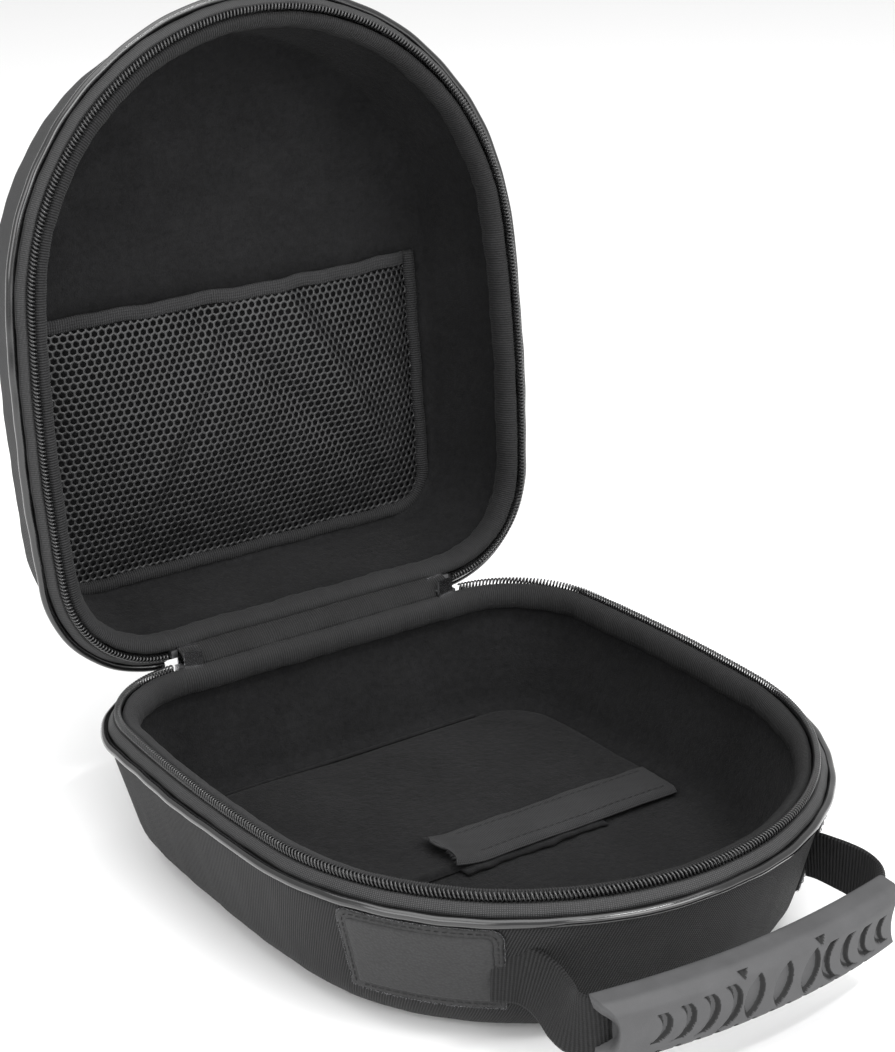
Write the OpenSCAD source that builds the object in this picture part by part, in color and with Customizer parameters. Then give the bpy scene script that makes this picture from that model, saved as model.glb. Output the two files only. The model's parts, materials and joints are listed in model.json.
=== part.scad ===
// Headphone carrying case: D-shaped zipped hard case, lying on its base with the lid open.
// Millimetres. X runs along the hinge, -Y points to the handle, Z is up from the floor.
// The origin is on the floor, in the middle of the base.

/* [Outline] */
// Radius of the round front end at the zip
front_r = 101.5; // [80:0.5:130]
// Radius of the slightly bowed sides
side_r = 651.5; // [300:0.5:900]
// Radius of the two corners beside the hinge
corner_r = 39; // [33:0.5:60]

/* [Shells] */
// Height of the parting plane above the floor
base_h = 58.3; // [45:0.1:75]
// Depth of the lid from the parting plane to its outer face
lid_h = 56.3; // [45:0.1:75]
// Slope of the base's walls from upright, degrees
base_draft = 15; // [4:1:22]
// Slope of the lid's walls from upright, degrees
lid_draft = 16; // [4:1:22]
// Outer fillet between the base's wall and floor
base_fillet = 20; // [8:1:24]
// Outer fillet between the lid's wall and top
lid_fillet = 15; // [8:1:24]
// Thickness of the woven outer cover
cover_t = 0.6; // [0.4:0.1:1.2]
// Thickness of the moulded foam shell
shell_t = 3.2; // [2:0.1:5]
// Thickness of the fleece lining
lining_t = 1.2; // [0.6:0.1:2]

/* [Rim] */
// How far the wall's outer face stands outside the zip line, at the piping
wall_out = 4.5; // [3:0.1:7]
// Radius of the piping cord
piping_r = 1.6; // [1:0.1:3]
// Half the gap between the two zip rows when closed
zip_gap = 0.5; // [0.3:0.1:1]
// Height of one row of zip coil
coil_h = 3.6; // [2.4:0.1:5]
// Thickness of the zip coil
coil_t = 2.4; // [1.6:0.1:4]
// Thickness of the zip tape and the hinge strip
tape_t = 0.7; // [0.5:0.1:1.5]
// Width of the notch that a parked slider sits in
park_w = 13; // [10:0.5:18]

/* [Lid] */
// Angle that the lid stands open, from closed
lid_open = 94.4; // [80:0.1:110]
// Distance of the fold line behind the zip line
fold_out = 1.5; // [0:0.1:4]
// Half the pocket's width
pocket_w = 84; // [60:1:88]
// Height of the pocket from its bottom to its mouth
pocket_l = 100; // [70:1:130]
// How far the net stands off the lid's back at its fullest
pocket_bulge = 14; // [6:1:22]

/* [Handle] */
// Half the distance between the two handle straps
strap_x = 60; // [40:1:75]
// Height of the webbing
web_h = 20; // [15:1:30]
// Thickness of the webbing
web_t = 1.6; // [1:0.1:2.5]
// Length of the rubber grip
grip_l = 117; // [90:1:140]
// Height of the rubber grip
grip_h = 22; // [16:1:30]
// Thickness of the rubber grip
grip_t = 14; // [10:1:20]
// Radius that the grip bows outwards with
grip_bow = 290; // [200:10:600]
// How far the handle droops below level, degrees
handle_droop = 4; // [0:1:10]

/* [Floor flap] */
// Thickness of the padded floor flap
flap_t = 3; // [2:0.5:6]
// Width of the ribbon along the flap's front edge
hem_w = 20; // [10:1:28]

/* [Label patch] */
// Width of the patch round the wall, degrees of the front arc
patch_angle = 30; // [20:1:40]
// Direction of the patch's middle, degrees from the apex
patch_at = 53; // [50:0.5:60]

/* [Hidden] */
$fn = 96;
far = 400;
in_k = -30;                       // where the swept walls end and the flat floor plate begins
hinge_y = 113.5;
bow_c = 0.99712;                  // cosine and sine of the angle a side arc spans either way
bow_s = 0.07584;
reach = 150;
c2x = -(side_r - front_r) * bow_c;
c3x = c2x + (side_r - corner_r) * bow_c;
c3y = hinge_y - corner_r;
c2y = c3y - (side_r - corner_r) * bow_s;
c1y = c2y - (side_r - front_r) * bow_s;
apex_y = c1y - front_r;
front_join = [reach * bow_c, c1y - reach * bow_s];
corner_join = [c3x + reach * bow_c, c3y + reach * bow_s];
rim_h = 10.3;                     // depth below the parting plane where wall_out is measured
inner_round = 0.55;               // inner fillet over the outer one
wall_t = cover_t + shell_t + lining_t;
coil_z = zip_gap + coil_h / 2;
tape_k = 1.5;
tape_top = 1.3;
tape_end = 9.6;
tape_run = 2.5;
clear = 0.2;
fillet_steps = 9;
park_x = c3x - park_w + 1;        // where each parking notch begins
fold_y = hinge_y + fold_out;
grip_y = apex_y - 23.4;             // middle of the grip's centre line
strap_z = 31;
strap_y = -93;                    // the handle's swing axis
tab_r = web_h / 2 + 2;
turn_r = 8;
strap_gap = 3;                    // room between a strap and its tab, so that the handle can swing up
grip_hollow = 16;                 // radius of the grip's hollow ends
turn_y = -125;
flap_y = 96.5;
flap_front = 0.5;
floor_z = wall_t;
flap_z = floor_z + 0.6;
slider_at = 9.5;                  // angle of a parked slider past the corner arc's end
slider_arc = 11;
pull_t = 1;
seam_r = 0.75;                    // the flap's rolled seam, on the axis that the flap lifts about
seam_l = 120;
seam_y = flap_y + 1.1;
seam_z = flap_z + flap_t / 2 + 0.2;

black = [0.07, 0.07, 0.075];
soft_black = [0.11, 0.11, 0.12];
grey = [0.2, 0.2, 0.21];
metal = [0.75, 0.75, 0.76];

function at(r, a) = [r * cos(a), r * sin(a)];

// ---- outline and sweeps; profiles are drawn as [outward offset, -depth] ----

module wedge(points) {
  translate([0, 0, -far / 4]) linear_extrude(far / 2) polygon(points);
}

module front_sweep() {
  intersection() {
    translate([0, c1y, 0]) rotate([0, 0, 180])
      rotate_extrude(angle = 180) translate([front_r, 0]) children();
    wedge([[0, c1y], [-front_join[0], front_join[1]], [-far, -far], [far, -far], front_join]);
  }
}

module side_sweeps() {
  for (s = [0, 1]) mirror([s, 0, 0]) {
    intersection() {
      translate([c2x, c2y, 0])
        rotate_extrude(angle = 12, start = -6) translate([side_r, 0]) children();
      wedge([[0, c1y], front_join, corner_join, [c3x, c3y]]);
    }
    intersection() {
      translate([c3x, c3y, 0])
        rotate_extrude(angle = 90) translate([corner_r, 0]) children();
      wedge([[c3x, c3y], corner_join, [far, far], [c3x, far]]);
    }
  }
}

module back_sweep(x0, x1) {
  translate([x0, hinge_y, 0]) rotate([90, 0, 90]) linear_extrude(x1 - x0) children();
}

module open_ring() {
  front_sweep() children();
  side_sweeps() children();
}

module ring() {
  open_ring() children();
  back_sweep(-c3x, c3x) children();
}

module outline(k) {
  intersection() {
    translate([0, c1y]) circle(front_r + k);
    polygon([[0, c1y], [-front_join[0], front_join[1]], [-far, -far], [far, -far], front_join]);
  }
  for (s = [0, 1]) mirror([s, 0]) {
    intersection() {
      translate([c2x, c2y]) circle(side_r + k);
      polygon([[0, c1y], front_join, corner_join, [c3x, c3y]]);
    }
    intersection() {
      translate([c3x, c3y]) circle(corner_r + k);
      polygon([[c3x, c3y], corner_join, [far, far], [c3x, far]]);
    }
  }
  polygon([[0, c1y], [c3x, c3y], [c3x, hinge_y + k], [-c3x, hinge_y + k], [-c3x, c3y]]);
}

// Everything inside the wall's face moved in by t, with its floor at depth b and fillet r
module inside(t, b, r, draft) {
  hf = b - r;
  top = 2;
  function kw(h) = wall_out - (h - rim_h) * tan(draft) - t / cos(draft);
  kf = kw(hf) - r / cos(draft);
  turn = [for (i = [0 : fillet_steps]) -draft - (90 - draft) * i / fillet_steps];
  polygon(concat([[in_k, -b], [in_k, -top], [kw(top), -top]],
    [for (a = turn) [kf, -hf] + at(r, a)]));
}

module top_trim(h) {
  translate([-far / 4, -h]) square([far / 2, far / 4]);
}

module plate(h0, h1) {
  translate([0, 0, -h1]) linear_extrude(h1 - h0) outline(in_k);
}

// The zip tape's slanted strip, from top depth h0 to h1, moved out by o, of thickness t
module slant(h0, h1, o, t) {
  function kt(h) = tape_k + o + (h - tape_top) * tape_run / (tape_end - tape_top);
  polygon([[kt(h0), -h0], [kt(h0) + t, -h0], [kt(h1) + t, -h1], [kt(h1), -h1]]);
}

module shell_profile(b, f, draft) {
  difference() {
    inside(cover_t, b - cover_t, f - cover_t, draft);
    inside(wall_t - lining_t, b - wall_t + lining_t, f * inner_round + lining_t, draft);
    top_trim(5.6);
    translate([0, -5.6]) rim_corner(0.1);
  }
}

// The corner that the tape passes through, cut from the shell's top
module rim_corner(o) {
  polygon([[2.6 - o, 1], [2.6 - o, 0], [3.4 - o, -4.8 - o], [8, -4.8 - o], [8, 1]]);
}

module cover_profile(b, f, draft) {
  difference() {
    inside(0, b, f, draft);
    inside(cover_t, b - cover_t, f - cover_t, draft);
    top_trim(rim_h);
  }
}

module lining_profile(b, f, draft) {
  difference() {
    inside(wall_t - lining_t, b - wall_t + lining_t, f * inner_round + lining_t, draft);
    inside(wall_t, b - wall_t, f * inner_round, draft);
    top_trim(8);
  }
}

module leaf_profile() {
  polygon([[fold_out - 0.3, -0.35], [fold_out + 0.15, -0.35], [fold_out + tape_t, -1.35],
    [4.7, -tape_end], [4.7 - tape_t, -tape_end], [fold_out - 0.3, -tape_top - 0.2]]);
}

// ---- the two halves, drawn hanging below the parting plane ----

module half_shell(b, f, draft) {
  difference() {
    union() {
      ring() shell_profile(b, f, draft);
      plate(b - wall_t + lining_t, b - cover_t);
    }
    parking(7.2);
  }
}

module half_cover(b, f, draft) {
  ring() cover_profile(b, f, draft);
  plate(b - cover_t, b);
}

module half_lining(b, f, draft) {
  ring() lining_profile(b, f, draft);
  plate(b - wall_t, b - wall_t + lining_t);
}

module half_binding() {
  difference() {
    ring() binding_simple();
    parking(7.2);
  }
}

module binding_simple() {
  polygon([[-3, -1.9], [-4.9, -2.5], [-6.8, -4.6], [-7.6, -7.2], [-7.2, -9.8], [-5.8, -11.2],
    [-1.9, -11.2], [-1.7, -5.5], [-1.7, -4.6], [-3, -4.4]]);
}

module half_piping() {
  open_ring() translate([wall_out + 0.5, -8.7]) circle(piping_r, $fn = 12);
}

module half_tape() {
  open_ring() slant(tape_top, 7.4, 0, tape_t);
}

module half_coil() {
  open_ring() translate([-coil_t / 2, -coil_z - coil_h / 2]) square([coil_t, coil_h]);
}

module half_stops() {
  for (s = [-1, 1])
    translate([s * (c3x - 1.6), hinge_y - 0.4, -coil_z - 0.6]) cube([2.6, 2.8, 3], center = true);
}

module half_leaf() {
  back_sweep(-park_x, park_x) leaf_profile();
}

// The notches beside the hinge where the sliders park
module parking(r) {
  for (s = [0, 1]) mirror([s, 0, 0])
    translate([park_x, fold_y, 0]) rotate([0, 90, 0]) cylinder(r = r, h = park_w);
}

module in_base() {
  translate([0, 0, base_h]) children();
}

module in_lid() {
  translate([0, fold_y, base_h]) rotate([-lid_open, 0, 0]) translate([0, -fold_y, 0])
    mirror([0, 0, 1]) children();
}

module base_shell() { color(grey) in_base() half_shell(base_h, base_fillet, base_draft); }
module base_cover() { color(black) in_base() half_cover(base_h, base_fillet, base_draft); }
module base_lining() { color(soft_black) in_base() half_lining(base_h, base_fillet, base_draft); }
module base_binding() { color(grey) in_base() half_binding(); }
module base_piping() { color(black) in_base() half_piping(); }
module base_zip_tape() { color(grey) in_base() half_tape(); }
module base_zip_coil() { color(black) in_base() half_coil(); }
module base_zip_stops() { color(metal) in_base() half_stops(); }
module base_hinge_leaf() { color(soft_black) in_base() half_leaf(); }

module lid_shell() { color(grey) in_lid() half_shell(lid_h, lid_fillet, lid_draft); }
module lid_cover() { color(black) in_lid() half_cover(lid_h, lid_fillet, lid_draft); }
module lid_lining() { color(soft_black) in_lid() half_lining(lid_h, lid_fillet, lid_draft); }
module lid_binding() { color(grey) in_lid() half_binding(); }
module lid_piping() { color(black) in_lid() half_piping(); }
module lid_zip_tape() { color(grey) in_lid() half_tape(); }
module lid_zip_coil() { color(black) in_lid() half_coil(); }
module lid_zip_stops() { color(metal) in_lid() half_stops(); }
module lid_hinge_leaf() { color(soft_black) in_lid() half_leaf(); }

// ---- pocket on the lid's back ----

pocket_back = lid_h - wall_t - 0.2;
pocket_y = hinge_y - 17;          // bottom of the pocket
pocket_top = pocket_y - pocket_l;

module pocket_body(o, mouth) {
  hull() {
    translate([0, 0, -pocket_back + 0.4]) linear_extrude(0.5)
      pocket_u(pocket_w - 3 + o, pocket_top - mouth, $fn = 32);
    translate([-pocket_w + 12 - o, pocket_top - mouth, -pocket_back + 6 + o])
      cube([2 * (pocket_w - 12 + o), 2 + mouth, 0.5]);
    translate([-pocket_w + 22 - o, pocket_top + 34, -pocket_back + pocket_bulge - 1 + o])
      cube([2 * (pocket_w - 22 + o), pocket_l - 54, 0.5]);
  }
}

module pocket_net() {
  color(black) in_lid() difference() {
    pocket_body(1, 0);
    translate([0, 0, -0.6]) pocket_body(0, 2);
  }
}

module pocket_hem() {
  color(soft_black) in_lid() difference() {
    intersection() {
      pocket_body(2, 6);
      translate([-pocket_w + 1.9, pocket_top - 6, -60]) cube([2 * pocket_w - 3.8, 5.9, 60]);
    }
    translate([0, 0, -0.6]) pocket_body(0, 9);
  }
}

module pocket_binding() {
  color(grey) in_lid() intersection() {
    translate([0, 0, -pocket_back]) linear_extrude(2.4) difference() {
      pocket_u(pocket_w + 3.4, pocket_top - 5);
      pocket_u(pocket_w - 1.7, pocket_top - 5);
    }
    lid_room(0.1);
  }
}

// The space inside the lid's lining, o clear of it
module lid_room(o) {
  depth = lid_h - wall_t - o;
  ring() inside(wall_t + o, depth, lid_fillet * inner_round - o, lid_draft);
  plate(2, depth);
}

// The pocket's plan, open at the top y0 and rounded at its two bottom corners
module pocket_u(w, y0) {
  d = w - pocket_w;
  translate([-w, y0]) square([2 * w, pocket_y - 15 - y0]);
  translate([-w + 15 + d, y0]) square([2 * w - 30 - 2 * d, pocket_y + d - y0]);
  for (s = [-1, 1]) translate([s * (pocket_w - 15), pocket_y - 15]) circle(15 + d);
}

// ---- sliders and pulls ----

module at_corner(s) {
  mirror([s, 0, 0]) in_base() translate([c3x, c3y, 0]) children();
}

module slider(s) {
  color(metal) at_corner(s) rotate([0, 0, 90 + slider_at - slider_arc / 2]) {
    rotate_extrude(angle = slider_arc) {
      translate([corner_r + 3.5, -4.2]) square([1, 8.4]);
      translate([corner_r - 2.8, -4.2]) square([1, 8.4]);
    }
    rotate([0, 0, slider_arc * 0.6]) rotate_extrude(angle = slider_arc * 0.4)
      translate([corner_r - 2.8, -0.3]) square([7.3, 0.6]);
    rotate([0, 0, slider_arc / 2]) translate([corner_r + 4.4, 0, -4.4]) slider_lug();
  }
}

module slider_lug() {
  difference() {
    translate([0, -2, 0]) cube([2.4, 4, 2]);
    translate([1.3, 0, 1]) rotate([90, 0, 0]) cylinder(r = 0.65, h = 6, center = true);
  }
}

module pull(s) {
  color(metal) at_corner(s) rotate([0, 0, 90 + slider_at])
    translate([corner_r + 5.7, 0, -3.4]) {
      rotate([90, 0, 0]) cylinder(r = 0.5, h = 6.4, center = true);
      for (m = [-1, 1]) translate([-0.1, m * 2.7 - 0.5, -6]) cube([pull_t, 1, 6.2]);
      translate([-0.1, -3.2, -20]) cube([pull_t, 6.4, 14.2]);
    }
}

module slider_left() { slider(1); }
module slider_right() { slider(0); }
module pull_left() { pull(1); }
module pull_right() { pull(0); }

// ---- patches on the front wall ----

module wall_patch(h0, h1, o, t) {
  function kw(h) = wall_out - (h - rim_h) * tan(base_draft) + o;
  polygon([[kw(h0), -h0], [kw(h0) + t, -h0], [kw(h1) + t, -h1], [kw(h1), -h1]]);
}

module on_wall(mid, span) {
  in_base() translate([0, c1y, 0]) rotate([0, 0, -90 + mid - span / 2])
    rotate_extrude(angle = span) translate([front_r, 0]) children();
}

module label_patch() { color(grey) on_wall(-patch_at, patch_angle) wall_patch(11, 44, 0, 1.1); }
module label_panel() {
  color(soft_black) on_wall(-patch_at, patch_angle - 3) wall_patch(13, 42, 1.1, 0.5);
}
module anchor_patch() { color(grey) on_wall(patch_at, patch_angle) wall_patch(11, 44, 0, 1.1); }

// ---- handle ----

module front_solid() {
  in_base() translate([0, c1y, 0]) rotate([0, 0, 180]) rotate_extrude(angle = 180)
    translate([front_r, 0]) wall_patch(12, 45, -20, 20.05);
}

module side_plate() {
  rotate([90, 0, 90]) linear_extrude(web_t, center = true) children();
}

module strap_tab(s) {
  color(black) difference() {
    mirror([s, 0, 0]) translate([strap_x, strap_y, strap_z]) side_plate() intersection() {
      union() {
        circle(tab_r);
        translate([0, -tab_r]) square([16, 2 * tab_r]);
      }
      translate([-20, -web_h / 2]) square([40, web_h]);
    }
    front_solid();
  }
}

module hang() {
  translate([0, strap_y, strap_z]) rotate([handle_droop, 0, 0])
    translate([0, -strap_y, 0]) children();
}

module strap_path(t, h) {
  translate([strap_x, 0, 0]) difference() {
    translate([-t / 2, turn_y, -h / 2]) cube([t, strap_y - 5 - turn_y, h]);
    translate([0, strap_y, 0]) rotate([0, 90, 0])
      cylinder(r = tab_r + strap_gap, h = 10, center = true);
  }
  translate([strap_x - turn_r, turn_y, -h / 2]) rotate([0, 0, -90])
    rotate_extrude(angle = 90) translate([turn_r - t / 2, 0]) square([t, h]);
}

module strap(s) {
  color(black) mirror([s, 0, 0]) hang() strap_path(web_t, web_h);
}

module crescent(r, w) {
  intersection() {
    difference() {
      circle(r);
      translate([-w, 0]) circle(r);
    }
    translate([0, -r * 0.8]) square([2 * r, r * 1.6]);
  }
}

module lens(r, d) {
  intersection() {
    translate([-d, 0]) circle(r);
    translate([d, 0]) circle(r);
  }
}

module grip_marks() {
  mid = 4;
  for (i = [0 : 3]) {
    translate([mid - 18 - i * 8.4 - 4, 0]) crescent(7.5 - i * 0.9, 1.7);
    mirror([1, 0]) translate([-mid - 18 - i * 8.4 - 4, 0]) crescent(7.5 - i * 0.9, 1.7);
  }
  for (i = [-1 : 1]) translate([mid + i * 11.5, -1]) rotate(-14) lens(9.7, 6.8);
  for (s = [-1, 1]) translate([mid + s * 12, 7.4]) polygon([[-1.8, 1], [1.8, 1], [0, -2.2]]);
}

module grip_section() {
  o = grip_t / 2;
  v = grip_h / 2;
  polygon([[-o, -v + 4], [-o + 3, -v], [o - 3, -v], [o, -v + 3], [o, v - 6.5], [o - 3.5, v],
    [-o + 3, v], [-o, v - 4]]);
}

module handle_grip() {
  half_span = asin(grip_l / 2 / grip_bow);
  color([0.33, 0.33, 0.34]) hang() difference() {
    intersection() {
      translate([0, grip_y + grip_bow, 0]) rotate([0, 0, -90 - half_span])
        rotate_extrude(angle = 2 * half_span) translate([grip_bow, 0]) grip_section();
      translate([0, grip_y + 30, 0]) rotate([90, 0, 0]) linear_extrude(60) grip_outline();
    }
    translate([0, grip_y - grip_t / 2 + 1.4, 0]) rotate([90, 0, 0]) linear_extrude(10)
      grip_marks();
    for (s = [0, 1]) mirror([s, 0, 0]) strap_path(web_t + 2 * clear, web_h + 2 * clear);
  }
}

// The grip seen from the front: sharp corners and hollow ends
module grip_outline() {
  difference() {
    square([grip_l, grip_h], center = true);
    for (i = [-1, 1]) translate([i * (grip_l / 2 + grip_hollow - 4), 0]) circle(grip_hollow);
  }
}

module strap_tab_left() { strap_tab(1); }
module strap_tab_right() { strap_tab(0); }
module strap_left() { strap(1); }
module strap_right() { strap(0); }

// ---- floor flap ----

module flap_outline(k, y0, y1) {
  intersection() {
    outline(k);
    translate([-100, y0]) square([200, y1 - y0]);
  }
}

module floor_flap() {
  color(soft_black) translate([0, 0, flap_z]) linear_extrude(flap_t)
    flap_outline(-18, flap_front, flap_y);
}

module flap_seam() {
  color(grey) translate([-seam_l / 2, seam_y, seam_z]) rotate([0, 90, 0])
    cylinder(r = seam_r, h = seam_l);
}

module flap_hem() {
  color(grey) translate([0, 0, flap_z + flap_t]) linear_extrude(1.1) intersection() {
    flap_outline(-19, flap_front, flap_front + hem_w);
    translate([-15, -20]) square([120, 60]);
  }
}

module flap_underlay() {
  color(soft_black) translate([-12, flap_front - 3.4, flap_z]) cube([62, 3.2, 1.8]);
}

base_shell();
base_cover();
base_lining();
base_binding();
base_piping();
base_zip_tape();
base_zip_coil();
base_zip_stops();
base_hinge_leaf();
lid_shell();
lid_cover();
lid_lining();
lid_binding();
lid_piping();
lid_zip_tape();
lid_zip_coil();
lid_zip_stops();
lid_hinge_leaf();
pocket_net();
pocket_hem();
pocket_binding();
slider_left();
slider_right();
pull_left();
pull_right();
label_patch();
label_panel();
anchor_patch();
strap_tab_left();
strap_tab_right();
strap_left();
strap_right();
handle_grip();
flap_seam();
floor_flap();
flap_hem();
flap_underlay();
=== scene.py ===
import json
import math
import random

import bmesh
import bpy
import numpy as np
from mathutils import Matrix, Vector


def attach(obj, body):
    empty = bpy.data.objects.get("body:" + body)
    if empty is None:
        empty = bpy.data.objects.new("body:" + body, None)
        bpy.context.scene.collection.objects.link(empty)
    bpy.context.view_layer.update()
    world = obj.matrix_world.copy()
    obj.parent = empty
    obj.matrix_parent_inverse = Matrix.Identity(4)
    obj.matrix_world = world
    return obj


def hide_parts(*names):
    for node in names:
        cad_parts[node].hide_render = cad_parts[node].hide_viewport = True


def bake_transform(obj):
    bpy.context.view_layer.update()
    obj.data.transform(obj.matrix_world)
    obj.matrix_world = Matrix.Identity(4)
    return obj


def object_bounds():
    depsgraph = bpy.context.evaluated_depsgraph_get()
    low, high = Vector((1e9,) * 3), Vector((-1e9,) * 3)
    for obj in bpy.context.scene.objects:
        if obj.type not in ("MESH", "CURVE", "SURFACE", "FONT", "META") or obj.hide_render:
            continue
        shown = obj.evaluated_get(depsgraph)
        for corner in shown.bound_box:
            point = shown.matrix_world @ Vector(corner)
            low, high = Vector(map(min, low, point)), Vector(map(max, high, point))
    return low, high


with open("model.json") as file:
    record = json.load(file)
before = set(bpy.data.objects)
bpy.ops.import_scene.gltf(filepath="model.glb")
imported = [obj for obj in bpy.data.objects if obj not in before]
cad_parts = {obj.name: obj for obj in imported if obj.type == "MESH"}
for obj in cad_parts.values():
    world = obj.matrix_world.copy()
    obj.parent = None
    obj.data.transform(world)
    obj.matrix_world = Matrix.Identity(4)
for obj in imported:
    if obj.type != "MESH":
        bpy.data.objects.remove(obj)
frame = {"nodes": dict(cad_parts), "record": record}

# The visual model of the headphone case: cloth, ribbon, zip coils, net, padding, webbing and camera.
# Sizes are in millimetres, in the CAD frame, and turn into metres where a mesh is made.

cad_box = [list(corner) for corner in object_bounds()]
rng = random.Random(11)
MM = 0.001
TAU = 2 * math.pi

# ---- driving sizes, as in the CAD model ----
PARTING_Z = 58.3                 # height of the plane that the two halves meet on
LID_DEPTH = 56.3
BASE_DRAFT, LID_DRAFT = 15, 16
BASE_FILLET, LID_FILLET = 20, 15
FRONT_R, SIDE_R, CORNER_R = 101.5, 651.5, 39
FRONT_Y = -13.664                # centre of the round front
SIDE_X, SIDE_Y = 548.416, 28.048
CORNER_X, CORNER_Y = 62.32, 74.5
SIDE_SPAN = 4.349535             # degrees that a bowed side spans either way
HINGE_Y = CORNER_Y + CORNER_R
WALL_OUT, RIM_H = 4.5, 10.3
WALL_T = 5.0                     # thickness of the wall with its lining
RIB_PITCH = 0.95                 # ribs of the grosgrain ribbons
WEB_RIB = 1.25                   # ribs of the handle's webbing

joints = {joint["name"]: joint for joint in frame["record"]["behaviour"]["joints"]}
FOLD = [1000 * v for v in joints["lid_hinge"]["pos_m"]]
LID_OPEN = math.radians(joints["lid_hinge"]["range_deg"][1])


# ---- outline of the zip line ----

def arc(cx, cy, r, a0, a1, step):
    """Rows of x, y and the outward normal along an arc, its last point left out."""
    count = max(2, round(r * math.radians(abs(a1 - a0)) / step))
    a = np.radians(np.linspace(a0, a1, count + 1))[:-1]
    return np.c_[cx + r * np.cos(a), cy + r * np.sin(a), np.cos(a), np.sin(a)]


def zip_line(step, closed=True):
    """The zip line from the hinge's left end round the front to its right end: points, normals, lengths."""
    b = SIDE_SPAN
    rows = [arc(-CORNER_X, CORNER_Y, CORNER_R, 90, 180 - b, step),
            arc(SIDE_X, SIDE_Y, SIDE_R, 180 - b, 180 + b, step),
            arc(0, FRONT_Y, FRONT_R, 180 + b, 360 - b, step),
            arc(-SIDE_X, SIDE_Y, SIDE_R, -b, b, step),
            arc(CORNER_X, CORNER_Y, CORNER_R, b, 90, step)]
    count = round(2 * CORNER_X / step) if closed else 1
    x = np.linspace(CORNER_X, -CORNER_X, count + 1)[:-1]
    rows.append(np.c_[x, np.full_like(x, HINGE_Y), 0 * x, 0 * x + 1])
    line = np.vstack(rows)
    return line[:, :2], line[:, 2:], lengths(line[:, :2])


def in_base(p):
    """Closed-frame points (x, y, depth below the parting plane) as base points."""
    return np.stack([p[..., 0], p[..., 1], PARTING_Z - p[..., 2]], -1)


def in_lid(p):
    """Closed-frame points (x, y, depth above the parting plane) on the lid as it stands open."""
    y, h = p[..., 1] - FOLD[1], p[..., 2]
    c, s = math.cos(LID_OPEN), math.sin(LID_OPEN)
    return np.stack([p[..., 0], FOLD[1] + y * c + h * s, FOLD[2] - y * s + h * c], -1)


def ripple(s, waves):
    """A smooth uneven wave: a sum of (height, length, phase)."""
    return sum(height * np.sin(TAU * s / length + phase) for height, length, phase in waves)


# ---- mesh making ----

def lengths(points):
    """The running length along a row of points."""
    return np.r_[0, np.cumsum(np.linalg.norm(np.diff(points, axis=0), axis=1))]


def unit(rows):
    return rows / np.linalg.norm(rows, axis=1)[:, None]


def add_object(name, verts, faces, mat, uv=None, smooth=True):
    mesh = bpy.data.meshes.new(name)
    mesh.from_pydata(np.asarray(verts, float) * MM, [], faces)
    if uv is not None:
        layer = mesh.uv_layers.new(name="along")
        layer.data.foreach_set("uv", (np.asarray(uv, np.float32) * MM).ravel())
    obj = bpy.data.objects.new(name, mesh)
    bpy.context.scene.collection.objects.link(obj)
    mesh.materials.append(mat)
    if smooth:
        mesh.shade_smooth()
    return obj


def fix_normals(obj):
    bm = bmesh.new()
    bm.from_mesh(obj.data)
    bmesh.ops.recalc_face_normals(bm, faces=bm.faces)
    bm.to_mesh(obj.data)
    bm.free()


def grid_faces(n, m, wrap_n, wrap_m):
    i, j = np.meshgrid(np.arange(n if wrap_n else n - 1), np.arange(m if wrap_m else m - 1), indexing="ij")
    i1, j1 = (i + 1) % n, (j + 1) % m
    return np.stack([i * m + j, i1 * m + j, i1 * m + j1, i * m + j1], -1).reshape(-1, 4), i, j


def surface(name, grid, mat, u, v, wrap_n=False, wrap_m=False, caps=False):
    """A grid of points (n, m, 3) as a mesh, with u along n and v along m, in millimetres."""
    n, m = grid.shape[:2]
    quads, i, j = grid_faces(n, m, wrap_n, wrap_m)
    u = np.r_[u, u[-1] + u[1] - u[0]]
    v = np.r_[v, v[-1] + v[1] - v[0]]
    uv = np.stack([np.stack([u[i + a], v[j + b]], -1) for a, b in ((0, 0), (1, 0), (1, 1), (0, 1))], -2)
    uv = uv.reshape(-1, 2)
    faces = quads.tolist()
    if caps:
        for ring in (range(m), range((n - 1) * m, n * m)):
            faces.append(list(ring))
            uv = np.vstack([uv, np.zeros((m, 2))])
    obj = add_object(name, grid.reshape(-1, 3), faces, mat, uv)
    fix_normals(obj)
    return obj


def lofted(line, profile, place):
    """Points of a profile [(k, h)] or per-station (n, m, 2) swept along a line, before it is a mesh."""
    points, normals, _ = line
    profile = np.broadcast_to(np.asarray(profile, float), (len(points),) + np.shape(profile)[-2:])
    xy = points[:, None, :] + normals[:, None, :] * profile[..., :1]
    return place(np.concatenate([xy, profile[..., 1:]], -1))


def loft(name, line, profile, place, mat, closed=True, ring=True):
    """A closed or open profile swept along a line."""
    grid = lofted(line, profile, place)
    flat = np.asarray(profile, float).reshape(-1, *np.shape(profile)[-2:])[0]
    v = lengths(flat)
    return surface(name, grid, mat, line[2], v, wrap_n=ring, wrap_m=closed, caps=closed and not ring)


def rounded(points, radius, steps=4):
    """A closed polygon with its corners rounded."""
    pts = [np.array(p, float) for p in points]
    out = []
    for a, b, c in zip(pts[-1:] + pts[:-1], pts, pts[1:] + pts[:1]):
        la, lc = np.linalg.norm(a - b), np.linalg.norm(c - b)
        reach = min(radius, la * 0.45, lc * 0.45)
        p0, p1 = b + (a - b) / la * reach, b + (c - b) / lc * reach
        for t in np.linspace(0, 1, steps):
            out.append((1 - t) ** 2 * p0 + 2 * t * (1 - t) * b + t * t * p1)
    return np.array(out)


def modify(obj, kind, **values):
    mod = obj.modifiers.new(kind.lower(), kind)
    for key, value in values.items():
        setattr(mod, key, value)
    return mod


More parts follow.
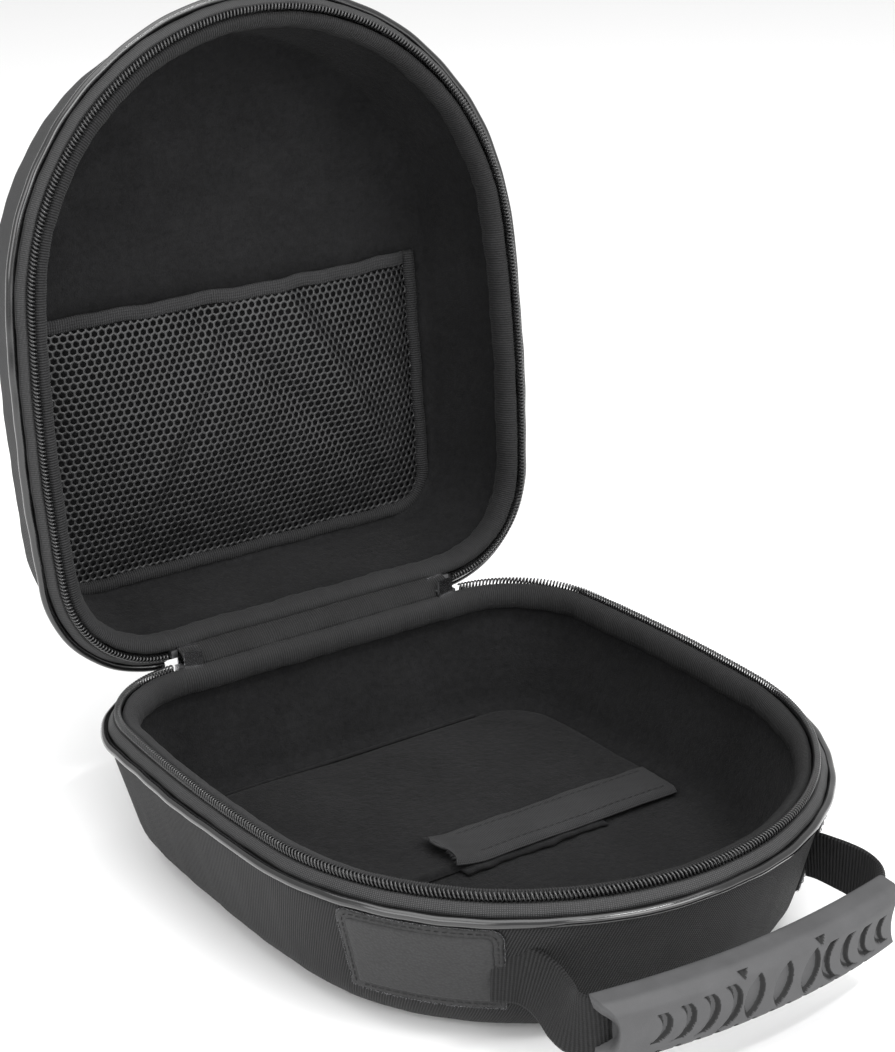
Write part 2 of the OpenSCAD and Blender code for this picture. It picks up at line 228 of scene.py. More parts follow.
def apply_modifiers(obj):
    graph = bpy.context.evaluated_depsgraph_get()
    mesh = bpy.data.meshes.new_from_object(obj.evaluated_get(graph))
    obj.modifiers.clear()
    obj.data = mesh
    return obj


def thicken(obj, thickness, offset=-1):
    modify(obj, "SOLIDIFY", thickness=thickness * MM, offset=offset)
    return apply_modifiers(obj)


def tube(name, path, radius, sides, mat, up=None):
    """A round wire swept along a path (n, 3), in millimetres."""
    path = np.asarray(path, float)
    t = unit(np.gradient(path, axis=0))
    ref = np.broadcast_to(np.array([0, 0, 1.0]) if up is None else up, path.shape)
    b = unit(np.cross(t, ref))
    r = np.cross(b, t)
    a = np.linspace(0, TAU, sides, endpoint=False)
    grid = path[:, None] + radius * (r[:, None] * np.cos(a)[:, None] + b[:, None] * np.sin(a)[:, None])
    s = lengths(path)
    return surface(name, grid, mat, s, a * radius, wrap_m=True, caps=True)


def stitches(name, path, normal, pitch, length, thick, mat, lean=0.0):
    """A row of short threads along a path (n, 3), each sunk a little at both its ends."""
    path, normal = np.asarray(path, float), np.broadcast_to(normal, np.shape(path))
    s = lengths(path)
    verts, faces = [], []
    rise = np.array([-0.5, 0.55, 0.75, 0.55, -0.5]) * thick
    along = np.array([-0.5, -0.3, 0, 0.3, 0.5]) * length
    for mid in np.arange(pitch / 2, s[-1] - pitch / 2, pitch):
        def at(q):
            return np.array([np.interp(q, s, path[:, k]) for k in range(3)])
        n = np.array([np.interp(mid, s, normal[:, k]) for k in range(3)])
        n /= np.linalg.norm(n)
        t = at(mid + 0.3) - at(mid - 0.3)
        t /= np.linalg.norm(t)
        side = np.cross(n, t)
        t = t + lean * side
        start = len(verts)
        for a, up in zip(along, rise):
            c = at(mid) + t * a + n * up
            wide = thick * 0.5
            verts += [c + side * wide, c + n * wide * 0.7, c - side * wide, c - n * wide * 0.7]
        for i in range(4):
            for j in range(4):
                k, j1 = start + i * 4, (j + 1) % 4
                faces.append([k + j, k + 4 + j, k + 4 + j1, k + j1])
        faces += [[start, start + 1, start + 2, start + 3], [start + 16 + j for j in range(4)]]
    obj = add_object(name, verts, faces, mat)
    fix_normals(obj)
    return obj


# ---- materials ----

class Tree:
    """A short way to write a shader's node tree."""

    def __init__(self, name, roughness=0.8, metallic=0.0, sheen=0.0, coat=0.0, specular=0.5):
        self.mat = bpy.data.materials.new(name)
        self.mat.use_nodes = True
        self.nodes, self.links = self.mat.node_tree.nodes, self.mat.node_tree.links
        self.shader = self.nodes["Principled BSDF"]
        values = {"Roughness": roughness, "Metallic": metallic, "Sheen Weight": sheen,
                  "Sheen Roughness": 0.4, "Coat Weight": coat, "Coat Roughness": 0.15,
                  "Specular IOR Level": specular}
        for key, value in values.items():
            self.shader.inputs[key].default_value = value

    def add(self, kind, **settings):
        node = self.nodes.new("ShaderNode" + kind)
        for key, value in settings.items():
            setattr(node, key, value)
        return node

    def feed(self, socket, value):
        if hasattr(value, "is_output"):
            self.links.new(value, socket)
        else:
            socket.default_value = value

    def math(self, op, a, b=0.0, clamp=False):
        node = self.add("Math", operation=op, use_clamp=clamp)
        self.feed(node.inputs[0], a)
        self.feed(node.inputs[1], b)
        return node.outputs[0]

    def coords(self, kind="UV"):
        node = self.add("TexCoord")
        return node.outputs[kind]

    def split(self, vector):
        node = self.add("SeparateXYZ")
        self.links.new(vector, node.inputs[0])
        return node.outputs

    def noise(self, vector, size, detail=3.0, rough=0.55):
        """Noise whose blotches are about size millimetres across."""
        node = self.add("TexNoise")
        self.links.new(vector, node.inputs["Vector"])
        self.feed(node.inputs["Scale"], 1 / (size * MM))
        self.feed(node.inputs["Detail"], detail)
        self.feed(node.inputs["Roughness"], rough)
        return node.outputs["Fac"]

    def cells(self, vector, size, feature="F1"):
        node = self.add("TexVoronoi", feature=feature)
        self.links.new(vector, node.inputs["Vector"])
        self.feed(node.inputs["Scale"], 1 / (size * MM))
        return node.outputs["Distance"]

    def ribs(self, value, pitch):
        """0 to 1 ridges along a coordinate, pitch in millimetres."""
        wave = self.math("SINE", self.math("MULTIPLY", value, TAU / (pitch * MM)))
        node = self.add("Math", operation="MULTIPLY_ADD")
        self.feed(node.inputs[0], wave)
        node.inputs[1].default_value = node.inputs[2].default_value = 0.5
        return node.outputs[0]

    def ramp(self, value, stops):
        node = self.add("ValToRGB")
        self.links.new(value, node.inputs[0])
        points = node.color_ramp.elements
        while len(points) < len(stops):
            points.new(0.5)
        for point, (place, colour) in zip(points, stops):
            point.position = place
            point.color = (*colour, 1)
        return node.outputs[0]

    def mix(self, a, b, factor, blend="MIX"):
        node = self.add("Mix", data_type="RGBA", blend_type=blend)
        self.feed(node.inputs[0], factor)
        self.feed(node.inputs[6], a)
        self.feed(node.inputs[7], b)
        return node.outputs[2]

    def bump(self, layers):
        """Bumps stacked from (height, millimetres)."""
        last = None
        for height, depth in layers:
            node = self.add("Bump")
            node.inputs["Strength"].default_value = 1.0
            node.inputs["Distance"].default_value = depth * MM
            self.links.new(height, node.inputs["Height"])
            if last is not None:
                self.links.new(last, node.inputs["Normal"])
            last = node.outputs[0]
        self.links.new(last, self.shader.inputs["Normal"])

    def colour(self, value):
        self.feed(self.shader.inputs["Base Color"], value)

    def rough(self, value):
        self.feed(self.shader.inputs["Roughness"], value)


def grey(value, warm=0.0):
    """A near-neutral linear colour, a little blue unless warm."""
    return (value * (1 + warm), value, value * (1.02 - warm))


def tones(tree, value, dark, light):
    return tree.ramp(value, [(0.25, grey(dark)), (0.75, grey(light))])


def twill_material(name, dark, light, pitch=1.0):
    """Woven cover cloth: steep ribs from two crossed waves, with slubs and faint blotches."""
    t = Tree(name, roughness=0.78, sheen=0.04, specular=0.25)
    uv, obj = t.coords(), t.coords("Object")
    u, v, _ = t.split(uv)
    lean = t.math("ADD", u, t.math("MULTIPLY", v, 0.4))
    ribs = t.ribs(lean, pitch)
    picks = t.ribs(t.math("SUBTRACT", v, t.math("MULTIPLY", u, 0.35)), pitch * 0.85)
    slub = t.noise(uv, 1.1, 4)
    weave = t.math("MULTIPLY", ribs, t.math("ADD", 0.55, t.math("MULTIPLY", picks, 0.45)))
    worn = t.math("ADD", t.math("MULTIPLY", weave, 0.65), t.math("MULTIPLY", slub, 0.35))
    cloth = tones(t, worn, dark, light)
    blotch = tones(t, t.noise(obj, 38, 3), 0.72, 1.0)
    t.colour(t.mix(cloth, blotch, 0.8, "MULTIPLY"))
    t.bump([(weave, 0.22), (slub, 0.1)])
    return t.mat


def fleece_material(name, dark, light):
    """Short brushed pile."""
    t = Tree(name, roughness=0.95, sheen=0.05, specular=0.08)
    obj = t.coords("Object")
    pile, tuft, blotch = t.noise(obj, 0.55, 2, 0.7), t.noise(obj, 2.6, 4, 0.65), t.noise(obj, 26, 3)
    mixed = t.math("ADD", t.math("MULTIPLY", pile, 0.45), t.math("MULTIPLY", tuft, 0.55))
    fibre = tones(t, mixed, dark, light)
    t.colour(t.mix(fibre, tones(t, blotch, 0.68, 1.0), 0.85, "MULTIPLY"))
    t.bump([(tuft, 0.5), (pile, 0.35)])
    return t.mat


def ribbon_material(name, dark, light, pitch=0.65, across=0.45, sheen=0.05):
    """Grosgrain ribbon: ribs over its width, and the fine thread of the weave along it."""
    t = Tree(name, roughness=0.7, sheen=sheen, specular=0.25)
    uv, obj = t.coords(), t.coords("Object")
    u, v, _ = t.split(uv)
    ribs, threads = t.ribs(u, pitch), t.ribs(v, across)
    weave = t.math("ADD", t.math("MULTIPLY", ribs, 0.7), t.math("MULTIPLY", threads, 0.3))
    fuzz = t.noise(obj, 0.8, 3)
    fibre = t.math("ADD", t.math("MULTIPLY", weave, 0.6), t.math("MULTIPLY", fuzz, 0.4))
    t.colour(t.mix(tones(t, fibre, dark, light), tones(t, t.noise(obj, 14), 0.7, 1.0), 0.8, "MULTIPLY"))
    t.bump([(ribs, 0.16), (threads, 0.05), (fuzz, 0.08)])
    return t.mat


def tape_material(name, dark, light, pitch=0.7):
    """Zip tape: a close plain weave of small dots."""
    t = Tree(name, roughness=0.62, sheen=0.05, specular=0.35)
    uv = t.coords()
    u, v, _ = t.split(uv)
    dots = t.math("MULTIPLY", t.ribs(u, pitch), t.ribs(v, pitch * 0.8))
    fuzz = t.noise(uv, 0.9, 3)
    fibre = t.math("ADD", t.math("MULTIPLY", dots, 0.6), t.math("MULTIPLY", fuzz, 0.4))
    t.colour(tones(t, fibre, dark, light))
    t.bump([(dots, 0.12), (fuzz, 0.05)])
    return t.mat


def plastic_material(name, dark, light, roughness=0.3, grain=0.6, depth=0.05, coat=0.0, kind="Object"):
    """Moulded or extruded plastic and rubber: fine grain, uneven shine and faint scuffs."""
    t = Tree(name, roughness=roughness, coat=coat, specular=0.5)
    obj = t.coords(kind)
    fine, broad = t.noise(obj, grain, 3, 0.6), t.noise(obj, 9, 4)
    t.colour(t.mix(tones(t, broad, dark, light), tones(t, fine, 0.85, 1.0), 0.7, "MULTIPLY"))
    shine = t.add("MapRange")
    t.links.new(broad, shine.inputs[0])
    shine.inputs[3].default_value = max(0.05, roughness - 0.08)
    shine.inputs[4].default_value = min(1.0, roughness + 0.12)
    t.rough(shine.outputs[0])
    t.bump([(fine, depth)])
    return t.mat


def leather_material(name, dark, light):
    """Leatherette: pebbled grain with paler worn crests."""
    t = Tree(name, roughness=0.55, sheen=0.03, specular=0.35)
    obj = t.coords("Object")
    pebble = t.cells(obj, 0.9)
    crease = t.noise(obj, 0.5, 3, 0.6)
    crest = t.math("ADD", t.math("MULTIPLY", pebble, 0.7), t.math("MULTIPLY", crease, 0.3))
    t.colour(t.mix(tones(t, crest, light, dark), tones(t, t.noise(obj, 11), 0.7, 1.0), 0.8, "MULTIPLY"))
    t.bump([(crest, -0.14)])
    return t.mat


def metal_material(name, tone, roughness=0.16):
    """Plated metal with a fine brushed haze and small pits."""
    t = Tree(name, roughness=roughness, metallic=1.0)
    obj = t.coords("Object")
    haze, pits = t.noise(obj, 1.8, 4), t.noise(obj, 0.35, 2)
    t.colour(tones(t, haze, tone * 0.82, tone))
    shine = t.add("MapRange")
    t.links.new(haze, shine.inputs[0])
    shine.inputs[3].default_value = roughness * 0.7
    shine.inputs[4].default_value = roughness * 1.8
    t.rough(shine.outputs[0])
    t.bump([(pits, 0.01)])
    return t.mat


def floor_material():
    t = Tree("studio_floor", roughness=0.9, specular=0.1)
    haze = t.noise(t.coords("Object"), 400, 2)
    t.colour(t.ramp(haze, [(0.0, (0.93,) * 3), (1.0, (0.95,) * 3)]))
    return t.mat


MATS = {
    "twill": twill_material("case_twill", 0.003, 0.032),
    # the lid's cover: the base's twill made lighter, the extra lightness is painted light
    "lid_twill_painted_light": twill_material("case_twill_lid_painted_light", 0.005, 0.048),
    "foam": plastic_material("foam_board", 0.006, 0.010, 0.85, 1.2, 0.1),
    "fleece": fleece_material("lining_fleece", 0.007, 0.021),
    "flap": fleece_material("flap_fleece", 0.007, 0.021),
    "binding": ribbon_material("binding_grosgrain", 0.002, 0.028, pitch=RIB_PITCH),
    "hem": ribbon_material("flap_ribbon", 0.012, 0.046, pitch=0.75, across=0.5),
    "elastic": ribbon_material("pocket_elastic", 0.010, 0.040, pitch=0.9, across=1.1),
    "piping": plastic_material("piping_vinyl", 0.003, 0.006, 0.16, 1.4, 0.02, coat=0.6),
    "tape": tape_material("zip_tape", 0.012, 0.060),
    "coil": plastic_material("zip_nylon", 0.006, 0.014, 0.2, 0.8, 0.02, coat=0.5),
    "thread": plastic_material("sewing_thread", 0.004, 0.010, 0.6, 0.3, 0.03),
    "pale_thread": plastic_material("cut_fibre", 0.16, 0.30, 0.7, 0.3, 0.03),
    "metal": metal_material("slider_chrome", 0.78),
    "dull_metal": metal_material("stop_metal", 0.4, 0.3),
    "net": plastic_material("net_thread", 0.010, 0.026, 0.42, 0.5, 0.05),
    "hinge": twill_material("hinge_cloth", 0.006, 0.03, 0.7),
    "leather": leather_material("patch_leather", 0.006, 0.020),
    "panel": leather_material("patch_face", 0.012, 0.022),
    "web": ribbon_material("webbing", 0.002, 0.018, pitch=WEB_RIB, across=0.7),
    "rubber": plastic_material("grip_rubber", 0.042, 0.060, 0.62, 0.35, 0.05),
    # dark colour for the steep walls of the grip's engraved marks: painted shade in the engravings
    "mark": plastic_material("grip_marks", 0.006, 0.010, 0.75, 0.4, 0.05),
}


def finish_piece(obj, body, slot, *nodes):
    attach(obj, body)
    if nodes:
        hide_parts(*nodes)
    return obj


def paint_node(name, key):
    obj = frame["nodes"][name]
    obj.data.materials.clear()
    obj.data.materials.append(MATS[key])
    return obj


# ---- camera, light and floor ----

CAMERA_AT = (-427.446, -604.916, 418.863)
CAMERA_AZ, CAMERA_EL, CAMERA_ROLL = -34.063, 21.092, -1.281
IMAGE_W, IMAGE_H = 895, 1052
FOCAL_PX = 2379.5
CENTRE_X, CENTRE_Y = 443.56, 524.32


SENSOR = 36
FLOOR_HALF = 6000                # the floor reaches this far each way
WORLD_LIGHT = 0.8
# name, place in metres, width and depth in metres, watts
LIGHTS = [("overhead", (-0.1, -0.1, 1.5), (1.6, 1.6), 19),
          ("left_window", (-1.3, -0.5, 0.75), (1.0, 1.0), 10),
          ("front_fill", (0.3, -1.7, 0.8), (1.4, 0.9), 22),
          ("strip", (0.25, -0.75, 1.15), (0.5, 0.06), 5)]


def add_camera():
    data = bpy.data.cameras.new("photo_camera")
    data.sensor_fit = "VERTICAL"
    data.sensor_height = SENSOR
    data.lens = FOCAL_PX / IMAGE_H * SENSOR
    data.shift_x = (IMAGE_W / 2 - CENTRE_X) / IMAGE_H
    data.shift_y = (CENTRE_Y - IMAGE_H / 2) / IMAGE_H
    data.clip_start, data.clip_end = 0.01, 50
    obj = bpy.data.objects.new("photo_camera", data)
    bpy.context.scene.collection.objects.link(obj)
    az, el, roll = (math.radians(v) for v in (CAMERA_AZ, CAMERA_EL, CAMERA_ROLL))
    ahead = Vector((-math.sin(az) * math.cos(el), math.cos(az) * math.cos(el), -math.sin(el)))
    right = Vector((math.cos(az), math.sin(az), 0))
    up = right.cross(ahead)
    right, up = (right * math.cos(roll) + up * math.sin(roll),
                 up * math.cos(roll) - right * math.sin(roll))
    turn = Matrix((right, up, -ahead)).transposed().to_4x4()
    obj.matrix_world = Matrix.Translation(Vector(CAMERA_AT) * MM) @ turn
    bpy.context.scene.camera = obj


def add_light(name, place, target, size, power):
    data = bpy.data.lights.new(name, "AREA")
    data.shape, data.size, data.size_y = "RECTANGLE", size[0], size[1]
    data.energy = power
    obj = bpy.data.objects.new(name, data)
    bpy.context.scene.collection.objects.link(obj)
    obj.location = place
    obj.rotation_euler = (Vector(target) - Vector(place)).to_track_quat("-Z", "Y").to_euler()


def add_studio():
    low, high = (Vector(c) for c in cad_box)
    centre = (low + high) / 2
    corners = [(-1, -1), (1, -1), (1, 1), (-1, 1)]
    floor = add_object("studio_floor", [[x * FLOOR_HALF, y * FLOOR_HALF, 0] for x, y in corners],
                       [[0, 1, 2, 3]], floor_material(), smooth=False)
    for name, place, panel, watts in LIGHTS:
        add_light(name, place, centre, panel, watts)
    world = bpy.data.worlds.new("studio")
    world.use_nodes = True
    sky = world.node_tree.nodes["Background"].inputs
    sky[0].default_value, sky[1].default_value = (1, 1, 1, 1), WORLD_LIGHT
    bpy.context.scene.world = world
    bpy.context.scene.view_settings.view_transform = "Standard"


# ---- covers ----

HOLE_REACH = 20                  # the last ring's edge lies within this of the flat's middle

def wall_k(h, draft):
    """How far the outer wall stands outside the zip line, h from the parting plane."""
    return WALL_OUT - (h - RIM_H) * math.tan(math.radians(draft))


def wall_profile(depth, fillet, draft):
    """The outer face from under the piping down the wall and round the fillet to the flat."""
    hf = depth - fillet
    points = [(wall_k(h, draft), h) for h in np.linspace(RIM_H - 0.6, hf, 9)[:-1]]
    kf = wall_k(hf, draft) - fillet / math.cos(math.radians(draft))
    for t in np.radians(np.linspace(-draft, -90, 12)):
        points.append((kf + fillet * math.cos(t), hf - fillet * math.sin(t)))
    return np.array(points + [(-24, depth), (-30, depth)])


def cover(name, depth, fillet, draft, place, mat, phase):
    """The cover cloth of one half: the swept wall, and rings that shrink to the middle of the flat."""
    profile = wall_profile(depth, fillet, draft)
    points, normals, s = zip_line(2.4)
    puff = ripple(s, [(0.16, 61, phase), (0.1, 23, 1 + phase), (0.07, 11.5, 2.2)])
    bowl = np.sin(np.linspace(0, math.pi, len(profile)))
    swept = np.repeat(profile[None], len(points), 0)
    swept[..., 0] += puff[:, None] * bowl[None, :] - 0.15
    grid = np.concatenate([points[:, None] + normals[:, None] * swept[..., :1], swept[..., 1:]], -1)
    rim = grid[:, -1]
    middle = np.array([0, 8, depth])
    rings = [rim * (1 - t) + middle * t for t in np.linspace(0, 0.96, 12)[1:]]
    grid = np.concatenate([grid] + [r[:, None] for r in rings], 1)
    v = lengths(grid[0])
    obj = surface(name, place(grid), mat, s, v, wrap_n=True)
    bm = bmesh.new()
    bm.from_mesh(obj.data)
    centre = place(middle)
    edge = [e for e in bm.edges if e.is_boundary
            and np.linalg.norm(centre - np.array(e.verts[0].co) / MM) < HOLE_REACH]
    bmesh.ops.contextual_create(bm, geom=edge)
    layer = bm.loops.layers.uv.active
    flat_h = depth - 0.5
    bm.faces.ensure_lookup_table()
    closed = place_back(np.array([vert.co for vert in bm.verts]) / MM, place)
    for face in bm.faces:
        hs = [closed[loop.vert.index][2] for loop in face.loops]
        if min(hs) > flat_h:
            for loop in face.loops:
                x, y, _ = closed[loop.vert.index]
                loop[layer].uv = (x * MM, y * MM)
    bm.to_mesh(obj.data)
    bm.free()
    obj.data.shade_smooth()
    return thicken(obj, 0.5)


def place_back(p, place):
    """World points as closed-frame points."""
    if place is in_base:
        return np.stack([p[:, 0], p[:, 1], PARTING_Z - p[:, 2]], -1)
    c, s = math.cos(LID_OPEN), math.sin(LID_OPEN)
    y, z = p[:, 1] - FOLD[1], p[:, 2] - FOLD[2]
    return np.stack([p[:, 0], FOLD[1] + y * c - z * s, y * s + z * c], -1)


# ---- rim: binding, piping, tape and coil ----

BINDING = [(-2.2, 1.9), (-4.9, 2.3), (-6.8, 4.4), (-7.6, 7.2), (-7.3, 9.9), (-6.3, 11.3),
           (-5.2, 10.6), (-3.2, 6.2), (-1.9, 5.5), (-1.75, 3.6)]


def ribbed(profile, s, pitch, depth, waves):
    """A profile repeated at each station, swelling with the ribs and leaning in and out with the waves."""
    middle = profile.mean(0)
    swell = 1 + depth * np.cos(TAU * s / pitch)
    stack = middle + (profile - middle)[None] * swell[:, None, None]
    lean = ripple(s, waves)
    low = (profile[:, 1] - profile[:, 1].min()) / np.ptp(profile[:, 1])
    stack[..., 0] += lean[:, None] * (0.25 + low)[None, :]
    stack[..., 1] += 0.5 * ripple(s, [(w * 0.8, l * 1.3, p + 1) for w, l, p in waves])[:, None]
    return stack


def binding(name, place, mat, phase):
    line = zip_line(RIB_PITCH / 4)
    profile = rounded(BINDING, 0.8, 3)[::2]
    waves = [(0.22, 37, phase), (0.13, 13.7, 2 * phase), (0.08, 6.1, phase + 1)]
    return loft(name, line, ribbed(profile, line[2], RIB_PITCH, 0.04, waves), place, mat)


def piping(name, place, mat, phase):
    line = zip_line(1.6, closed=False)
    a = np.linspace(0, TAU, 14, endpoint=False)
    r = 1.6
    circle = np.c_[5.0 + r * np.cos(a), 8.7 + r * np.sin(a)]
    stack = np.repeat(circle[None], len(line[0]), 0)
    stack[..., 0] += ripple(line[2], [(0.12, 47, phase), (0.07, 17, 1)])[:, None]
    stack[..., 1] += ripple(line[2], [(0.15, 58, phase + 2), (0.06, 15, 3)])[:, None]
    return loft(name, line, stack, place, mat, ring=False)


def tape(name, place, mat, phase):
    """The slanted tape with a raised cord beside the coil and a plain woven face."""
    line = zip_line(1.6, closed=False)
    face = [(-0.6, 4.25), (1.0, 4.0), (1.5, 3.9), (1.85, 4.15), (2.35, 4.9), (3.1, 6.1), (3.75, 7.3)]
    back = [(3.2, 7.5), (2.4, 6.2), (1.6, 5.0), (0.4, 4.8)]
    stack = np.repeat(np.array(face + back)[None], len(line[0]), 0)
    stack[..., 0] += ripple(line[2], [(0.14, 33, phase), (0.07, 12, 2)])[:, None]
    return loft(name, line, stack, place, mat, ring=False)


COIL_PITCH, COIL_A, COIL_B, COIL_WIRE = 1.4, 0.95, 1.4, 0.37


def coil(name, place, mat):
    """A nylon coil: one wire wound in flattened turns along the zip line."""
    points, normals, s = zip_line(0.7, closed=False)
    per_turn = 12
    count = int((s[-1] - 2) / COIL_PITCH) * per_turn
    t = np.arange(count) * TAU / per_turn
    along = 1 + t / TAU * COIL_PITCH + 0.28 * COIL_PITCH * np.sin(t)
    squash = np.sign(np.cos(t)) * np.abs(np.cos(t)) ** 0.75
    k, h = COIL_A * squash, 2.3 + COIL_B * np.sign(np.sin(t)) * np.abs(np.sin(t)) ** 0.75
    px, py = (np.interp(along, s, points[:, i]) for i in (0, 1))
    nx, ny = (np.interp(along, s, normals[:, i]) for i in (0, 1))
    path = place(np.stack([px + nx * k, py + ny * k, h], -1))
    core = place(np.stack([px, py, 0 * px + 2.3], -1))
    return tube(name, path, COIL_WIRE, 6, mat, up=path - core + 1e-6)


def rim_stitches(name, place, k, h, pitch, length, normal):
    line = zip_line(2.0)
    path = lofted(line, [(k, h)], place)[:, 0]
    up = lofted(line, [(k + normal[0], h + normal[1])], place)[:, 0] - path
    return stitches(name, path, up, pitch, length, 0.34, MATS["thread"])


def add_half(side, place, depth, fillet, draft, phase):
    # the lid's cover takes the lighter copy of the twill, which is painted light
    shell = cover(side + "_cover_cloth", depth, fillet, draft, place,
                  MATS["twill" if side == "base" else "lid_twill_painted_light"], phase)
    finish_piece(shell, side, "cover_twill", side + "_cover")
    for make, name, key, slot, node in ((binding, "_binding_ribbon", "binding", "binding_ribbon", "_binding"),
                                        (piping, "_piping_cord", "piping", "piping_vinyl", "_piping"),
                                        (tape, "_tape_woven", "tape", "zip_tape", "_zip_tape")):
        finish_piece(make(side + name, place, MATS[key], phase), side, slot, side + node)
    finish_piece(coil(side + "_coil_wound", place, MATS["coil"]), side, "zip_nylon", side + "_zip_coil")
    seam = rim_stitches(side + "_binding_stitches", place, -6.95, 8.6, 3.1, 2.2, (-1, 0.1))
    finish_piece(seam, side, "binding_ribbon")
    for node, key in (("_shell", "foam"), ("_lining", "fleece"), ("_zip_stops", "dull_metal"),
                      ("_hinge_leaf", "hinge")):
        paint_node(side + node, key)


add_camera()
add_studio()
add_half("base", in_base, PARTING_Z, BASE_FILLET, BASE_DRAFT, 0.4)
add_half("lid", in_lid, LID_DEPTH, LID_FILLET, LID_DRAFT, 1.9)


# ---- hinge band ----

def hinge_band():
    """The ribbed band that joins the two bindings inside the hinge."""
    half = CORNER_X - 3
    low = in_base(np.array([0, HINGE_Y - 2.6, 2.6]))
    high = in_lid(np.array([0, HINGE_Y - 2.6, 2.6]))
    x = np.arange(-half, half, RIB_PITCH / 4)
    t = np.linspace(0, 1, 9)
    bow = np.sin(math.pi * t) * 1.4
    dy, dz = high[1] - low[1], high[2] - low[2]
    length = math.hypot(dy, dz)
    wave = ripple(x, [(0.5, 19, 0.5), (0.3, 8.5, 2), (0.35, 47, 1)])
    rib = 0.09 * np.cos(TAU * x / RIB_PITCH)
    off = bow[None] + (wave * 0.6)[:, None] * np.sin(math.pi * t)[None] + rib[:, None]
    y = low[1] + dy * t[None] - dz / length * off
    z = low[2] + dz * t[None] + dy / length * off
    grid = np.stack([np.repeat(x[:, None], 9, 1), y, z], -1)
    obj = surface("hinge_band_ribbon", grid, MATS["binding"], x, t * length)
    thicken(obj, 0.7)
    finish_piece(obj, "base", "hinge_fabric")
    obj.parent = None
    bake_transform(obj)


# ---- pocket ----

POCKET_W, POCKET_Y, POCKET_TOP = 84, HINGE_Y - 17, HINGE_Y - 17 - 100
POCKET_BACK = LID_DEPTH - WALL_T - 0.2
POCKET_BULGE = 11.0
CELL = 3.0                       # from one hole of the net to the next
HOLE = 0.66                      # size of a hole in its cell
# height, slant, y0, x0 and width of each fold of the net
NET_FOLDS = [(2.6, 0.55, 60, 38, 6), (-2.4, 0.5, 0, 5, 8), (2.3, -0.6, 40, -48, 6), (-2.0, -0.9, 0, 12, 7)]


def pocket_rise(x, y):
    """How far the net stands off the lid's back: a soft belly, slanting folds and pulled-in seams."""
    across = np.clip(1 - (np.abs(x) / (POCKET_W - 3)) ** 2.6, 0, 1)
    down = np.clip((POCKET_Y - 3 - y) / (POCKET_Y - POCKET_TOP), 0, 1)
    belly = (1 - (1 - down) ** 3) * (1 - 0.42 * down ** 3)
    fold = sum(height * np.exp(-((x + slant * (y - y0) + x0) / wide) ** 2)
               for height, slant, y0, x0, wide in NET_FOLDS)
    soft = 0.8 * np.sin(x / 13 + 0.7) * np.sin(y / 17 + 1.1)
    return 1.0 + across ** 0.6 * belly * (POCKET_BULGE + fold + soft)


def net_place(x, y):
    return in_lid(np.stack([x, y, POCKET_BACK - pocket_rise(x, y)], -1))


def in_pocket(x, y, margin):
    """Draws points outside the pocket's rounded plan in to its edge."""
    w, bottom, top = POCKET_W - margin, POCKET_Y - margin, POCKET_TOP
    x, y = np.clip(x, -w, w), np.clip(y, top, bottom)
    r = 15 - margin
    cx, cy = w - r, bottom - r
    dx, dy = np.abs(x) - cx, y - cy
    d = np.hypot(dx, dy)
    outside = (dx > 0) & (dy > 0) & (d > r)
    shrink = np.where(outside, r / np.maximum(d, 1e-6), 1)
    x = np.where(outside, np.sign(x) * (cx + dx * shrink), x)
    y = np.where(outside, cy + dy * shrink, y)
    return x, y


def pocket_net():
    """Knitted net with open hexagonal holes."""
    dx, dy = CELL, CELL * math.sqrt(3) / 2
    index, verts, faces = {}, [], []

    def vert(x, y):
        key = (round(x, 2), round(y, 2))
        if key not in index:
            index[key] = len(verts)
            verts.append((x, y))
        return index[key]

    radius = CELL / math.sqrt(3)
    rows = int((POCKET_Y - POCKET_TOP) / dy) + 1
    cols = int(POCKET_W / dx) + 1
    for row in range(rows):
        for col in range(-cols, cols + 1):
            cx = (col + 0.5 * (row % 2)) * dx
            cy = POCKET_TOP + row * dy
            if abs(cx) > POCKET_W + 1:
                continue
            outer = [vert(cx + radius * math.sin(TAU * k / 6), cy + radius * math.cos(TAU * k / 6))
                     for k in range(6)]
            inner = []
            for k in range(12):
                a = TAU * k / 12
                r = radius * HOLE * (1.0 if k % 2 == 0 else 0.93)
                inner.append(vert(cx + r * math.sin(a) + 1e-4, cy + r * math.cos(a)))
            for k in range(6):
                k1 = (k + 1) % 6
                faces.append([outer[k], outer[k1], inner[(2 * k + 2) % 12], inner[2 * k + 1], inner[2 * k]])
    xy = np.array(verts)
    x, y = in_pocket(xy[:, 0], xy[:, 1], 0.5)
    obj = add_object("pocket_net_knit", net_place(x, y), faces, MATS["net"])
    bm = bmesh.new()
    bm.from_mesh(obj.data)
    bmesh.ops.remove_doubles(bm, verts=bm.verts, dist=0.02 * MM)
    bmesh.ops.dissolve_degenerate(bm, edges=bm.edges, dist=0.02 * MM)
    bm.to_mesh(obj.data)
    bm.free()
    thicken(obj, 0.45, offset=0)
    obj.data.shade_smooth()
    finish_piece(obj, "lid", "pocket_mesh", "pocket_net")


def pocket_hem():
    """Elastic band along the pocket's mouth."""
    x = np.arange(-POCKET_W + 2, POCKET_W - 2, 0.45)
    rib = 0.12 * np.cos(TAU * x / 0.9)
    v = np.array([-5.4, -5.0, -4.0, -2.8, -1.6, -0.4, 0.1])
    lift = np.array([-0.1, 0.75, 0.95, 0.85, 0.95, 0.7, -0.1])
    y = POCKET_TOP + v[None] + ripple(x, [(0.3, 41, 0.3), (0.2, 19, 1.2)])[:, None]
    h = POCKET_BACK - pocket_rise(x, POCKET_TOP)[:, None] - lift[None] - rib[:, None]
    grid = in_lid(np.stack([np.repeat(x[:, None], len(v), 1), y, h], -1))
    obj = surface("pocket_hem_elastic", grid, MATS["elastic"], x, v - v[0])
    thicken(obj, 0.8)
    finish_piece(obj, "lid", "pocket_elastic", "pocket_hem")


